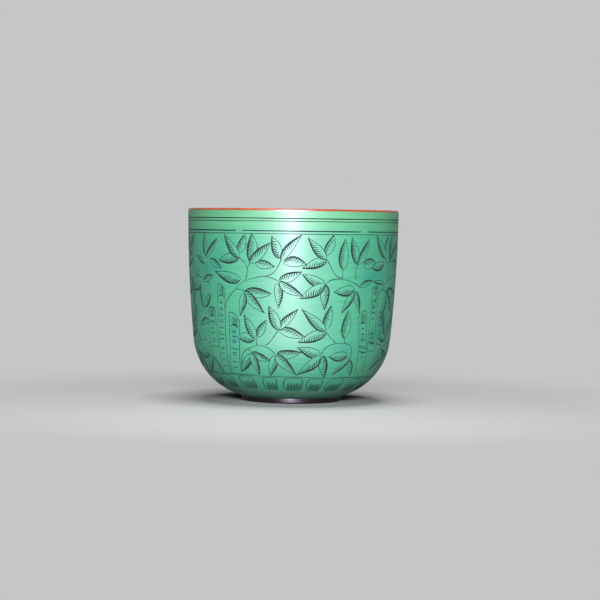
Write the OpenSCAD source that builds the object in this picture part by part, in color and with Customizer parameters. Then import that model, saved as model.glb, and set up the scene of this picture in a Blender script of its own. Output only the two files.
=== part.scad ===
// Bamboo cup, coil built: wound bamboo splint, filled with putty and lacquered inside and out.
// Every coat follows one outer profile: a long wall arc that runs into a round heel and a flat base.
// A coat's depth is its distance in from the outermost surface, measured square to it.

/* [Cup] */
// Outer diameter at the lip
rim_d = 76; // [64:0.5:92]
// Height from the table to the lip
cup_h = 69; // [60:0.2:86]
// Radius of the long arc that the wall follows
wall_arc_r = 480; // [400:10:900]
// Lean of the wall at the lip, in degrees
lip_lean = 0.2; // [0.1:0.1:1.2]
// Radius of the heel, where the wall turns under
heel_r = 23.4; // [17:0.2:26]
// Height of the flat base over the table
base_lift = 1.1; // [0.8:0.1:2]

/* [Foot] */
// Outer diameter of the foot ring
foot_d = 36; // [34:0.2:42]
// Width of the foot ring
foot_w = 3; // [2.4:0.1:4.5]
// Rounding of the foot ring's lower edges
foot_round = 0.5; // [0.3:0.05:0.7]

/* [Lip] */
// Rounding of the lip's outer edge
lip_round = 0.6; // [0.5:0.05:1]
// Rounding of the lip's inner edge
lip_inner_round = 1.2; // [0.6:0.1:1.5]
// Height of the orange edge that shows outside
rim_band_h = 0.75; // [0.65:0.05:2]
// Height of the bamboo hoop in the lip
rim_hoop_h = 3.4; // [2:0.1:6]

/* [Coats] */
// Thickness of the green and orange finishing coats
topcoat_t = 0.3; // [0.15:0.05:0.35]
// Thickness of the black lacquer under them
undercoat_t = 0.15; // [0.1:0.01:0.2]
// Thickness of the putty outside the bamboo
outer_ground_t = 0.45; // [0.25:0.05:0.9]
// Thickness of the putty inside the bamboo
inner_ground_t = 0.35; // [0.2:0.05:0.8]
// Thickness of the layer that the bamboo winding fills
winding_t = 1.8; // [1.7:0.05:2.6]

/* [Turned lines] */
// Distance of the upper pair of lines from the lip
upper_lines_drop = 3.4; // [2:0.1:5]
// Distance of the lower pair of lines from the lip
lower_lines_drop = 7.75; // [6:0.05:12]
// Spacing of the two lines in a pair
line_spacing = 0.97; // [0.6:0.01:1.6]
// Width of a turned line
line_w = 0.34; // [0.2:0.02:0.5]
// Depth of a turned line
line_depth = 0.14; // [0.05:0.01:0.18]

/* [Bamboo splints] */
// Thickness of the splint wound into the base
base_splint_t = 1; // [0.6:0.05:1.5]
// Width of the splint wound round the heel
heel_splint_w = 3; // [2.6:0.1:3.2]
// Rise of the heel splint in one turn
heel_pitch = 2.2; // [2.1:0.05:2.6]
// Width of the splint wound up the wall
wall_splint_w = 6; // [5:0.1:6.4]
// Rise of the wall splint in one turn
wall_pitch = 3.8; // [3.7:0.1:5]
// Thickness of the heel and wall splints
splint_t = 0.5; // [0.3:0.05:0.55]
// Gap that the putty fills between neighbouring turns
turn_gap = 0.1; // [0.08:0.01:0.15]
// Gap between a splint's surface and the coats either side
seat_gap = 0.1; // [0.06:0.01:0.15]

/* [Hidden] */

round_fn = 180;
wall_steps = 8;
heel_steps = 16;
round_steps = 5;
winding_steps = 36;
// How far a cut runs past the surface that it opens
overrun = 0.2;
// Radius at which the base splint starts its first turn
base_coil_start_r = 1.4;
// Share of the wall's turns that the lower of its two splints makes
lower_splint_share = 0.5;

rim_r = rim_d / 2;
foot_r = foot_d / 2;
foot_inner_r = foot_r - foot_w;

// Depths of the surfaces between the coats
ground_depth = topcoat_t + undercoat_t;
winding_depth = ground_depth + outer_ground_t;
lining_depth = winding_depth + winding_t;
inner_coats_depth = lining_depth + inner_ground_t;
wall_t = inner_coats_depth + ground_depth;
middle_depth = winding_depth + winding_t / 2;

// Centres of the wall arc and of the heel, which touch where the wall runs into the heel
wall_centre = [rim_r - wall_arc_r * cos(lip_lean), cup_h + wall_arc_r * sin(lip_lean)];
heel_centre_z = base_lift + heel_r;
centres_drop = wall_centre.y - heel_centre_z;
heel_centre = [wall_centre.x + sqrt(pow(wall_arc_r - heel_r, 2) - pow(centres_drop, 2)), heel_centre_z];
heel_angle = asin(centres_drop / (wall_arc_r - heel_r));

lip_z = cup_h - lip_round;
hoop_z = cup_h - rim_hoop_h;
band_z = cup_h - rim_band_h;

function reversed(points) = [for (i = [len(points) - 1:-1:0]) points[i]];

// A point at a depth on a circle about a centre, at an angle below the horizontal
function arc_point(centre, radius, angle) = centre + radius * [cos(angle), -sin(angle)];

// The face at a depth, as points from the lip down to the middle of the base
function coat_line(depth) = concat(
    [for (i = [0:wall_steps - 1])
        arc_point(wall_centre, wall_arc_r - depth, lip_lean + (heel_angle - lip_lean) * i / wall_steps)],
    [for (i = [0:heel_steps])
        arc_point(heel_centre, heel_r - depth, heel_angle + (90 - heel_angle) * i / heel_steps)],
    [[0, base_lift + depth]]
);

function radius_at(z, depth) = lookup(z, [for (p = coat_line(depth)) [p.y, p.x]]);
function height_at(r, depth) = lookup(r, [for (p = coat_line(depth)) [p.x, p.y]]);

// The part of such a face from a height down to a radius, and from one radius in to another
function line_below(z, depth, end_r) = concat(
    [[radius_at(z, depth), z]],
    [for (p = coat_line(depth)) if (p.y < z && p.x > end_r) p],
    [[end_r, height_at(end_r, depth)]]
);
function line_under(start_r, depth, end_r) = concat(
    [[start_r, height_at(start_r, depth)]],
    [for (p = coat_line(depth)) if (p.x < start_r && p.x > end_r) p],
    [[end_r, height_at(end_r, depth)]]
);

// A quarter turn from a start angle, counted upwards from the outward direction
function quarter(centre, radius, start_angle, turn, steps_from = 0) =
    [for (i = [steps_from:round_steps])
        let (angle = start_angle + turn * i / round_steps) centre + radius * [cos(angle), sin(angle)]];

// The lip's rounded outline at a distance inside its surface, from the outer side over to the inner side
function lip_outline(inset) =
    let (outer_r = radius_at(lip_z, inset) - (lip_round - inset))
    let (inner_r = radius_at(cup_h - lip_inner_round, wall_t - inset) + (lip_inner_round - inset))
    concat(
        quarter([outer_r, lip_z], lip_round - inset, 0, 90),
        reversed(quarter([inner_r, cup_h - lip_inner_round], lip_inner_round - inset, 180, -90, 1))
    );

// The foot ring's rounded outline, from its outer side round to its inner side
function foot_outline(inset) =
    let (corner_r = foot_round - inset)
    concat(
        quarter([foot_r - foot_round, foot_round], corner_r, 0, -90),
        quarter([foot_inner_r + foot_round, foot_round], corner_r, -90, -90)
    );

// A coat between two depths, from a height down to the middle of the base
module lining(z, outer_depth, inner_depth) {
    rotate_extrude($fn = round_fn)
        polygon(concat(line_below(z, outer_depth, 0), reversed(line_below(z, inner_depth, 0))));
}

// A turned line: a V cut round the green coat
module turned_line(z) {
    polygon([
        [radius_at(z + line_w / 2, 0) + overrun, z + line_w / 2 * (1 + overrun / line_depth)],
        [radius_at(z, line_depth), z],
        [radius_at(z - line_w / 2, 0) + overrun, z - line_w / 2 * (1 + overrun / line_depth)],
    ]);
}

module green_lacquer() {
    color("mediumseagreen")
        rotate_extrude($fn = round_fn)
            difference() {
                polygon(concat(
                    line_below(band_z, 0, foot_r),
                    reversed(line_below(band_z, topcoat_t, foot_r))
                ));
                for (drop = [upper_lines_drop, lower_lines_drop], line = [0, 1])
                    turned_line(cup_h - drop - line * line_spacing);
            }
}

module orange_lacquer() {
    color("orangered")
        rotate_extrude($fn = round_fn)
            polygon(concat(
                [[radius_at(band_z, 0), band_z]],
                lip_outline(0),
                line_below(cup_h - lip_inner_round, wall_t, 0),
                reversed(line_below(cup_h - lip_inner_round, wall_t - topcoat_t, 0)),
                reversed(lip_outline(topcoat_t)),
                [[radius_at(band_z, topcoat_t), band_z]]
            ));
}

module outer_undercoat() {
    color("black")
        rotate_extrude($fn = round_fn)
            polygon(concat(
                line_below(lip_z, topcoat_t, foot_r),
                foot_outline(0),
                line_under(foot_inner_r, topcoat_t, 0),
                reversed(line_under(foot_inner_r + undercoat_t, ground_depth, 0)),
                reversed(foot_outline(undercoat_t)),
                reversed(line_below(lip_z, ground_depth, foot_r - undercoat_t))
            ));
}

module inner_undercoat() {
    color("black")
        rotate_extrude($fn = round_fn)
            polygon(concat(
                lip_outline(topcoat_t),
                line_below(cup_h - lip_inner_round, wall_t - topcoat_t, 0),
                reversed(line_below(cup_h - lip_inner_round, inner_coats_depth, 0)),
                reversed(lip_outline(ground_depth))
            ));
}

module outer_ground() {
    color("dimgray") lining(hoop_z, ground_depth, winding_depth);
}

module inner_ground() {
    color("dimgray") lining(hoop_z, lining_depth, inner_coats_depth);
}

module rim_hoop() {
    color("burlywood")
        rotate_extrude($fn = round_fn)
            polygon(concat(
                [[radius_at(hoop_z, ground_depth), hoop_z]],
                lip_outline(ground_depth),
                [[radius_at(hoop_z, inner_coats_depth), hoop_z]]
            ));
}

module foot_hoop() {
    color("burlywood")
        rotate_extrude($fn = round_fn)
            polygon(concat(
                foot_outline(undercoat_t),
                reversed(line_under(foot_r - undercoat_t, ground_depth, foot_inner_r + undercoat_t))
            ));
}

// The base splint stands on edge and winds outwards like a clock spring
module base_coil() {
    splint_w = winding_t - 2 * seat_gap;
    pitch = base_splint_t + turn_gap;
    turns = (heel_centre.x - base_coil_start_r - base_splint_t / 2) / pitch;
    steps = floor(turns * winding_steps);
    function side(offset) = [for (i = [0:steps])
        let (angle = 360 * i / winding_steps)
        (base_coil_start_r + pitch * i / winding_steps + offset) * [cos(angle), sin(angle)]];
    color("burlywood")
        translate([0, 0, base_lift + winding_depth + seat_gap])
            linear_extrude(height = splint_w)
                polygon(concat(side(-base_splint_t / 2), reversed(side(base_splint_t / 2))));
}

// Where the middle of the winding lies, by the distance along it from the edge of the flat base
heel_length = (heel_r - middle_depth) * (90 - heel_angle) * PI / 180;
function lay_angle(s) = s < heel_length
    ? 90 - s / (heel_r - middle_depth) * 180 / PI
    : heel_angle - (s - heel_length) / (wall_arc_r - middle_depth) * 180 / PI;
function lay_point(s) = s < heel_length
    ? arc_point(heel_centre, heel_r - middle_depth, lay_angle(s))
    : arc_point(wall_centre, wall_arc_r - middle_depth, lay_angle(s));

// A splint's four corners, tilted so that each turn's lower edge laps outside the turn below
function splint_section(s, width, pitch) =
    let (angle = lay_angle(s))
    let (lap = asin((splint_t + turn_gap) / pitch))
    let (outwards = [cos(angle), -sin(angle)], upwards = [sin(angle), cos(angle)])
    let (across = (upwards * cos(lap) - outwards * sin(lap)) * width / 2)
    let (through = (outwards * cos(lap) + upwards * sin(lap)) * splint_t / 2)
    [for (corner = [across + through, across - through, -across - through, -across + through])
        lay_point(s) + corner];

// A splint wound up the winding layer from one distance to another, as one unbroken strip
module winding(width, pitch, from_s, first_step, last_step) {
    corners = 4;
    count = last_step - first_step + 1;
    sections = [for (i = [first_step:last_step])
        let (angle = 360 * i / winding_steps)
        for (p = splint_section(from_s + pitch * i / winding_steps, width, pitch))
            [p.x * cos(angle), p.x * sin(angle), p.y]];
    sides = [for (i = [0:count - 2], k = [0:corners - 1])
        let (a = i * corners + k, b = i * corners + (k + 1) % corners)
        each [[a, b, b + corners], [a, b + corners, a + corners]]];
    ends = [
        [0, 3, 2], [0, 2, 1],
        for (face = [[0, 1, 2], [0, 2, 3]]) [for (k = face) (count - 1) * corners + k],
    ];
    polyhedron(points = sections, faces = concat(sides, ends), convexity = 10);
}

heel_start = heel_splint_w / 2 + turn_gap;
heel_steps_wound = floor((heel_length - heel_start) / heel_pitch * winding_steps);
heel_end = heel_start + heel_pitch * heel_steps_wound / winding_steps;
wall_start = heel_end + (heel_splint_w + wall_splint_w) / 2 + turn_gap;
wall_lay_r = wall_arc_r - middle_depth;
hoop_angle = asin((wall_centre.y - hoop_z) / wall_lay_r);
winding_length = heel_length + wall_lay_r * (heel_angle - hoop_angle) * PI / 180;
wall_end = winding_length - wall_splint_w / 2 - turn_gap;
wall_steps_wound = floor((wall_end - wall_start) / wall_pitch * winding_steps);
lower_steps_wound = floor(wall_steps_wound * lower_splint_share);

module heel_coil() {
    color("tan") winding(heel_splint_w, heel_pitch, heel_start, 0, heel_steps_wound);
}

module wall_coil_lower() {
    color("burlywood") winding(wall_splint_w, wall_pitch, wall_start, 0, lower_steps_wound);
}

module wall_coil_upper() {
    color("tan") winding(wall_splint_w, wall_pitch, wall_start, lower_steps_wound + 1, wall_steps_wound);
}

green_lacquer();
orange_lacquer();
outer_undercoat();
inner_undercoat();
outer_ground();
inner_ground();
rim_hoop();
foot_hoop();
base_coil();
heel_coil();
wall_coil_lower();
wall_coil_upper();
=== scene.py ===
import bpy
import numpy as np
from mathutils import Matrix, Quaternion, Vector
from mathutils.geometry import delaunay_2d_cdt


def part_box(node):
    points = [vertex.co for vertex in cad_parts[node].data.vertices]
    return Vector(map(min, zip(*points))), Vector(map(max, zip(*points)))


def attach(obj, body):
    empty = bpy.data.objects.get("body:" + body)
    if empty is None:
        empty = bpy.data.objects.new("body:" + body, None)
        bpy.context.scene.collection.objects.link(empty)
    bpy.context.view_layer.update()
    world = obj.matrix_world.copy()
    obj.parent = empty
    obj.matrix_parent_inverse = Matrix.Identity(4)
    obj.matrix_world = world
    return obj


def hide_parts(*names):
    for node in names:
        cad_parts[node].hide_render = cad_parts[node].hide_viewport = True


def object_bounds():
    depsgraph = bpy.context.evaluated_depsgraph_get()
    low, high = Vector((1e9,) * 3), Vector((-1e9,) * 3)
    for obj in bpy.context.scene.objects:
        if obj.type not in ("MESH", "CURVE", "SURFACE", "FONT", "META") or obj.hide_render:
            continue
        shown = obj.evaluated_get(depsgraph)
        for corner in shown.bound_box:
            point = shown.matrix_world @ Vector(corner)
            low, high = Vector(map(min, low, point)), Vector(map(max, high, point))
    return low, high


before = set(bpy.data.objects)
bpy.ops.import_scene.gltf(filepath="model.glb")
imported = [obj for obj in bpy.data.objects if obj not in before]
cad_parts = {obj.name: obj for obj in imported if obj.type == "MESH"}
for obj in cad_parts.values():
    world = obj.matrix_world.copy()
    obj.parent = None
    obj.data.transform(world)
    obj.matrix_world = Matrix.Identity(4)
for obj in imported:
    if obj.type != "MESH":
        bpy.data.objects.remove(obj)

cad_low, cad_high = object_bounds()
mm = 0.001


# The table, the lamps and the camera.
# The cup stands on a plain pale table that fades into a pale room. A close lamp in front lights the green
# and leaves its flanks dark, a tall one behind it draws the gleam down the front, and one overhead is soft.
# The first four values are in pixels of the photo.
photo_side = 600
photo_focal = 2100
axis_column = 292.3
horizon_row = 224.7
photo_roll = np.radians(0.8)
sensor_w = 36
camera_gap = 760 * mm
eye_h = 63.5 * mm
near_clip = 10 * mm

cup_middle = Vector((0, 0, cad_high.z / 2))
gleam_colour = (0.9, 0.76, 1)
room_colour = (0.56, 0.565, 0.57, 1)
room_glow = 0.03
table_colour = (0.52, 0.52, 0.515, 1)
table_shade = (0.05, 0.05, 0.05, 1)
table_r = 4.0
table_segments = 96
fade_from, fade_to = 0.05, 0.17


def node(tree, kind, *values, named=None, **settings):
    """Adds a shader node. A value goes on its own socket, and another node's output is linked to it."""
    made = tree.nodes.new("ShaderNode" + kind)
    for key, value in settings.items():
        setattr(made, key, value)
    for key, value in [*enumerate(values), *(named or {}).items()]:
        if isinstance(value, bpy.types.NodeSocket):
            tree.links.new(value, made.inputs[key])
        elif value is not None:
            made.inputs[key].default_value = value
    return made.outputs


def combine(tree, operation, first, second):
    """Two values added, multiplied or the like."""
    return node(tree, "Math", first, second, operation=operation)[0]


def stretch(tree, value, low, high, to_low=0.0, to_high=1.0):
    """A value's range from low to high, spread smoothly to a new range."""
    return node(tree, "MapRange", value, low, high, to_low, to_high, interpolation_type="SMOOTHSTEP")[0]


def blend(tree, share, first, second):
    """A colour that goes from the first to the second with the share."""
    return node(tree, "MixRGB", share, first, second)[0]


def blank_material(name):
    """A new material with an empty tree."""
    made = bpy.data.materials.new(name)
    made.use_nodes = True
    made.node_tree.nodes.clear()
    return made, made.node_tree


def place_object(name, data):
    """Puts a new object with this data in the scene."""
    made = bpy.data.objects.new(name, data)
    bpy.context.scene.collection.objects.link(made)
    return made


def spun(radius, turn, height):
    """Points turned about the axis by an angle, which grows from the front to the right."""
    return np.stack([radius * np.sin(turn), -radius * np.cos(turn), height + 0 * turn], axis=-1)


def pale_rays(tree):
    """One for a camera, glossy or transmission ray, and none for the rest."""
    rays = node(tree, "LightPath")
    seen = combine(tree, "MAXIMUM", rays["Is Camera Ray"], rays["Is Glossy Ray"])
    return combine(tree, "MAXIMUM", seen, rays["Is Transmission Ray"])


def photo_camera():
    """The photo's camera: level, just under the lip, with a long lens and a little roll."""
    data = bpy.data.cameras.new("camera")
    data.sensor_width = sensor_w
    data.lens = sensor_w * photo_focal / photo_side
    data.clip_start = near_clip
    camera = place_object("camera", data)
    camera.location = (0, -camera_gap, eye_h)
    half_side = photo_side / 2
    aim = Vector(((half_side - axis_column) / photo_focal, 1, (horizon_row - half_side) / photo_focal))
    camera.rotation_mode = "QUATERNION"
    camera.rotation_quaternion = aim.to_track_quat("-Z", "Y") @ Quaternion((0, 0, 1), photo_roll)
    return camera


def soft_lamp(name, place, width, height, power, colour=(1, 1, 1), lights_matt=True):
    """An area lamp that looks at the middle of the cup. One that lights nothing matt shows in gloss only."""
    data = bpy.data.lights.new(name, "AREA")
    data.shape = "RECTANGLE"
    data.size, data.size_y = width, height
    data.energy = power
    data.color = colour
    lamp = place_object(name, data)
    lamp.location = place
    lamp.rotation_mode = "QUATERNION"
    lamp.rotation_quaternion = (cup_middle - Vector(place)).to_track_quat("-Z", "Y")
    lamp.visible_diffuse = lights_matt


def room():
    """A room that lights the cup faintly, and shows its full colour to the camera and in gloss."""
    world = bpy.data.worlds.new("room")
    world.use_nodes = True
    tree = world.node_tree
    tree.nodes.clear()
    weak = node(tree, "Background", room_colour, room_glow)[0]
    full = node(tree, "Background", room_colour, 1.0)[0]
    node(tree, "OutputWorld", node(tree, "MixShader", pale_rays(tree), weak, full)[0])
    return world


def table_finish():
    """A pale matt top that throws little light back on the cup, and fades into the room away from it."""
    made, tree = blank_material("table_top")
    place = node(tree, "TexCoord")["Object"]
    reach = node(tree, "VectorMath", place, operation="LENGTH")["Value"]
    seen = pale_rays(tree)
    far = combine(tree, "MULTIPLY", stretch(tree, reach, fade_from, fade_to), seen)
    near_shader = node(tree, "BsdfDiffuse", blend(tree, seen, table_shade, table_colour))[0]
    far_shader = node(tree, "Emission", room_colour, 1.0)[0]
    node(tree, "OutputMaterial", node(tree, "MixShader", far, near_shader, far_shader)[0])
    return made


bpy.context.scene.camera = photo_camera()
bpy.context.scene.view_settings.view_transform = "Standard"
soft_lamp("front_lamp", place=(0.0, -0.34, 0.095), width=0.14, height=0.05, power=1.28)
soft_lamp(
    "gleam_lamp", place=(-0.02, -0.95, 0.11), width=0.13, height=0.22, power=76,
    colour=gleam_colour, lights_matt=False,
)
soft_lamp("top_lamp", place=(0.05, -0.05, 1.2), width=0.5, height=0.5, power=11)
bpy.context.scene.world = room()

table_edge = spun(table_r, np.linspace(0, 2 * np.pi, table_segments, endpoint=False), 0)
table_mesh = bpy.data.meshes.new("table_top")
table_mesh.from_pydata(table_edge.tolist(), [], [list(range(table_segments))])
table_mesh.materials.append(table_finish())
table_top = place_object("table_top", table_mesh)


# The bamboo winding.
# Splints of split bamboo: one stands on edge and winds out over the base like a clock spring, a narrow
# one climbs the heel, and two wide ones climb the wall, each turn lapping outside the turn below.
straw = (0.60, 0.40, 0.19, 1)
straw_dark = (0.36, 0.20, 0.08, 1)
split_tint = (0.66, 0.50, 0.26, 1)
bamboo_fibres = 2400
bamboo_sweep = 3.0


def streak_group():
    """Streaks round the axis: noise read at (x, y) over the radius, times the sweep, and at the height plus
    the radius, times the fineness. It changes fast across a streak and slowly along it."""
    group = bpy.data.node_groups.new("streaks_round_the_cup", "ShaderNodeTree")
    for name in ("Fineness", "Sweep", "Detail"):
        group.interface.new_socket(name, in_out="INPUT", socket_type="NodeSocketFloat")
    group.interface.new_socket("Streak", in_out="OUTPUT", socket_type="NodeSocketFloat")
    given = group.nodes.new("NodeGroupInput").outputs
    place = node(group, "TexCoord")["Object"]
    level = node(group, "VectorMath", place, (1, 1, 0), operation="MULTIPLY")[0]
    radius = node(group, "VectorMath", level, operation="LENGTH")["Value"]
    outward = node(group, "VectorMath", level, operation="NORMALIZE")[0]
    round_it = node(group, "VectorMath", outward, named={"Scale": given["Sweep"]}, operation="SCALE")[0]
    height = node(group, "SeparateXYZ", place)["Z"]
    across = combine(group, "MULTIPLY", combine(group, "ADD", height, radius), given["Fineness"])
    across = node(group, "CombineXYZ", 0, 0, across)[0]
    spot = node(group, "VectorMath", round_it, across, operation="ADD")[0]
    noise = node(group, "TexNoise", named={"Vector": spot, "Scale": 1.0, "Detail": given["Detail"]})[0]
    group.links.new(noise, group.nodes.new("NodeGroupOutput").inputs["Streak"])
    return group


streaks_round = streak_group()


def streaks(tree, fineness, sweep, detail=2.0):
    """The streak value of the group, with a material's own fineness per metre and sweep."""
    values = {"Fineness": fineness, "Sweep": sweep, "Detail": detail}
    return node(tree, "Group", named=values, node_tree=streaks_round)["Streak"]


def cloud(tree, scale, detail=3.0):
    """Plain noise in object space, with a scale per metre."""
    place = node(tree, "TexCoord")["Object"]
    return node(tree, "TexNoise", named={"Vector": place, "Scale": scale, "Detail": detail})[0]


def relief(tree, height, distance):
    """The normal of a low relief, whose full height is the distance."""
    return node(tree, "Bump", named={"Strength": 1.0, "Distance": distance, "Height": height})[0]


def shade(tree, colour, rough, skin=None, more=None):
    """Ends a material's tree in one shader, with its colour, roughness, relief and any further values."""
    values = {"Base Color": colour, "Roughness": rough, "Normal": skin, **(more or {})}
    node(tree, "OutputMaterial", node(tree, "BsdfPrincipled", named=values)[0])


def bamboo(name, tint):
    """Split bamboo: fibre streaks in straw and brown, with a faint relief along the fibres."""
    made, tree = blank_material(name)
    fibre = streaks(tree, bamboo_fibres, bamboo_sweep, detail=4.0)
    patch = cloud(tree, 90)
    colour = blend(tree, stretch(tree, fibre, 0.35, 0.7), straw_dark, straw)
    colour = blend(tree, stretch(tree, patch, 0.45, 0.75), colour, tint)
    shade(tree, colour, stretch(tree, fibre, 0.3, 0.8, 0.62, 0.45), relief(tree, fibre, 0.06 * mm))
    return made


def finish_node(name, material):
    """Gives a CAD node its finish."""
    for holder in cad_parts[name].material_slots:
        holder.material = material


split_bamboo = bamboo("split_bamboo", split_tint)
for coil in ("base_coil", "heel_coil", "wall_coil_lower", "wall_coil_upper"):
    finish_node(coil, split_bamboo)


# The bamboo hoops.
# A bent strip of bamboo closes the winding at the lip, and another under the base makes the foot ring.
# Both are shaved to shape before the putty goes on, so their grain runs round the cup.
shaved_tint = (0.50, 0.31, 0.14, 1)
shaved_bamboo = bamboo("shaved_bamboo", shaved_tint)
for hoop in ("rim_hoop", "foot_hoop"):
    finish_node(hoop, shaved_bamboo)


# The putty.
# Ash and raw lacquer, spread over the winding inside and out and ground level when hard. It is grey
# brown, matt and grainy, with the marks of the grinding running round the cup.
putty_light = (0.115, 0.095, 0.075, 1)
putty_dark = (0.045, 0.037, 0.030, 1)
putty_rough = 0.85


def putty():
    """Grains of ash in light and dark, with a relief of the grains and the grinding marks."""
    made, tree = blank_material("putty")
    grain = cloud(tree, 2600, detail=5.0)
    grinding = streaks(tree, 1800, 2.0)
    colour = blend(tree, stretch(tree, grain, 0.3, 0.7), putty_dark, putty_light)
    shade(tree, colour, putty_rough, relief(tree, combine(tree, "ADD", grain, grinding), 0.05 * mm))
    return made


hard_putty = putty()
for coat in ("outer_ground", "inner_ground"):
    finish_node(coat, hard_putty)


# The black lacquer.
# Thin black lacquer under the colours, inside and out. Outside it is the last coat on the foot ring and
# the underside, so it shows there, glossy where it was wiped and dull where the cup has stood.
# The sizes of the coats are the CAD's own.
topcoat_t = 0.3 * mm
undercoat_t = 0.15 * mm
wall_t = 3.5 * mm
wall_arc_r = 480 * mm
heel_r = 23.4 * mm
lip_lean = np.radians(0.2)
rim_r = 38 * mm
base_lift = 1.1 * mm
foot_w = 3 * mm
foot_round = 0.5 * mm
lip_round = 0.6 * mm
lip_inner_round = 1.2 * mm
cup_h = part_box("orange_lacquer")[1].z
foot_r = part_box("foot_hoop")[1].x + undercoat_t
foot_inner_r = foot_r - foot_w
lip_z = cup_h - lip_round
turn_segments = 360
wall_steps = 20
heel_steps = 21
round_steps = 8
sharp_from = np.radians(40)
black_wiped = (0.008, 0.008, 0.009, 1)
black_worn = (0.030, 0.026, 0.023, 1)
black_gloss = 0.12

# The centres of the wall's and the heel's arc, as (radius, height), and the angle where they meet.
wall_centre = np.array([rim_r - wall_arc_r * np.cos(lip_lean), cup_h + wall_arc_r * np.sin(lip_lean)])
heel_z = base_lift + heel_r
heel_drop = wall_centre[1] - heel_z
heel_centre = np.array([wall_centre[0] + np.sqrt((wall_arc_r - heel_r) ** 2 - heel_drop ** 2), heel_z])
heel_angle = np.arcsin(heel_drop / (wall_arc_r - heel_r))


def arc(centre, radius, angles):
    """(radius, height) points on a circle: its centre plus its radius times (cos, -sin) of the angle below
    level."""
    return centre + radius * np.stack([np.cos(angles), -np.sin(angles)], axis=-1)


def quarter_round(centre, radius, start, end):
    """A quarter of a circle, from one angle below level to another, both in right angles."""
    return arc(np.array(centre), radius, np.linspace(start * np.pi / 2, end * np.pi / 2, round_steps))


def coat_line(depth, top_z, end_r):
    """The face at a depth, from a height down to a radius: the wall arc, then the heel arc, each drawn with
    its radius less the depth, then the flat of the base."""
    wall_from = np.arcsin((wall_centre[1] - top_z) / (wall_arc_r - depth))
    heel_to = np.arccos(max(end_r - heel_centre[0], 0) / (heel_r - depth))
    wall_angles = np.linspace(wall_from, heel_angle, wall_steps, endpoint=False)
    wall = arc(wall_centre, wall_arc_r - depth, wall_angles)
    heel = arc(heel_centre, heel_r - depth, np.linspace(heel_angle, heel_to, heel_steps))
    flat = np.array([[end_r, base_lift + depth]] if end_r < heel_centre[0] else []).reshape(-1, 2)
    return np.concatenate([wall, heel, flat])


def base_line(depth, start_r):
    """The face at a depth under the base, from a radius in to the axis."""
    from_angle = np.arccos((start_r - heel_centre[0]) / (heel_r - depth))
    heel = arc(heel_centre, heel_r - depth, np.linspace(from_angle, np.pi / 2, round_steps))
    return np.concatenate([heel, [[0, base_lift + depth]]])


def foot_outline(inset):
    """The foot ring's outline at an inset: two quarter rounds, from outside to inside."""
    outer = quarter_round((foot_r - foot_round, foot_round), foot_round - inset, 0, 1)
    inner = quarter_round((foot_inner_r + foot_round, foot_round), foot_round - inset, 1, 2)
    return np.concatenate([outer, inner])


def black_line(inset):
    """The black coat's face, or its back at an inset: the wall, the foot ring and the base."""
    depth = topcoat_t + inset
    wall = coat_line(depth, lip_z, foot_r - inset)
    return np.concatenate([wall, foot_outline(inset), base_line(depth, foot_inner_r + inset)])


def turned_faces(first, second):
    """Triangles between two rings of equal length, where a ring is a row of point numbers that closes on
    itself. A triangle that has one point twice is left out."""
    first_next, second_next = np.roll(first, -1, axis=-1), np.roll(second, -1, axis=-1)
    ahead = np.stack([first, first_next, second_next], axis=-1)
    behind = np.stack([first, second_next, second], axis=-1)
    faces = np.stack([ahead, behind]).reshape(-1, 3)
    return faces[(faces != np.roll(faces, 1, axis=1)).all(axis=1)]


def turned(outline):
    """Points and faces of a closed (radius, height) outline turned about the axis. A point on the axis stays
    one point."""
    angles = np.linspace(0, 2 * np.pi, turn_segments, endpoint=False)
    points = spun(outline[:, :1], angles, outline[:, 1:])
    number = np.arange(len(outline) * turn_segments).reshape(len(outline), turn_segments)
    on_axis = outline[:, 0] == 0
    number[on_axis] = number[on_axis][:, :1]
    faces = turned_faces(number, np.roll(number, -1, axis=0))
    used, faces = np.unique(faces, return_inverse=True)
    return points.reshape(-1, 3)[used], faces.reshape(-1, 3)


def outward(points, faces):
    """The faces turned outwards: the signed volume is the sum over faces of p0 . (p1 x p2) over six."""
    corners = points[faces]
    volume = np.einsum("ij,ij->", corners[:, 0], np.cross(corners[:, 1], corners[:, 2]))
    return faces if volume > 0 else faces[:, ::-1]


def solid(name, points, faces, materials, replaced):
    """Makes a closed piece that rides on the cup and stands for a CAD node."""
    mesh = bpy.data.meshes.new(name)
    mesh.from_pydata(points.tolist(), [], faces.tolist())
    for material in materials:
        mesh.materials.append(material)
    mesh.shade_smooth()
    made = place_object(name, mesh)
    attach(made, "root")
    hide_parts(replaced)
    return mesh


def turned_coat(name, face_line, back_line, material, replaced):
    """A coat of lacquer: the lines of its face and its back, joined at their ends and turned."""
    points, faces = turned(np.concatenate([face_line, back_line[::-1]]))
    mesh = solid(name, points, outward(points, faces), [material], replaced)
    mesh.set_sharp_from_angle(angle=sharp_from)


def black_lacquer():
    """Near black with wiping marks, lighter and duller in worn patches."""
    made, tree = blank_material("black_lacquer")
    wiped = streaks(tree, 1500, 2.5, detail=3.0)
    worn = stretch(tree, cloud(tree, 240, detail=6.0), 0.5, 0.72)
    rough = stretch(tree, wiped, 0.3, 0.7, 0.28, 0.4)
    rough = combine(tree, "ADD", rough, combine(tree, "MULTIPLY", worn, 0.2))
    colour = blend(tree, worn, black_wiped, black_worn)
    shade(tree, colour, rough, relief(tree, wiped, 0.02 * mm), {"Specular IOR Level": black_gloss})
    return made


black = black_lacquer()
finish_node("inner_undercoat", black)
turned_coat(
    "black_coat", black_line(0), black_line(undercoat_t), black,
    replaced="outer_undercoat",
)


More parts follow.
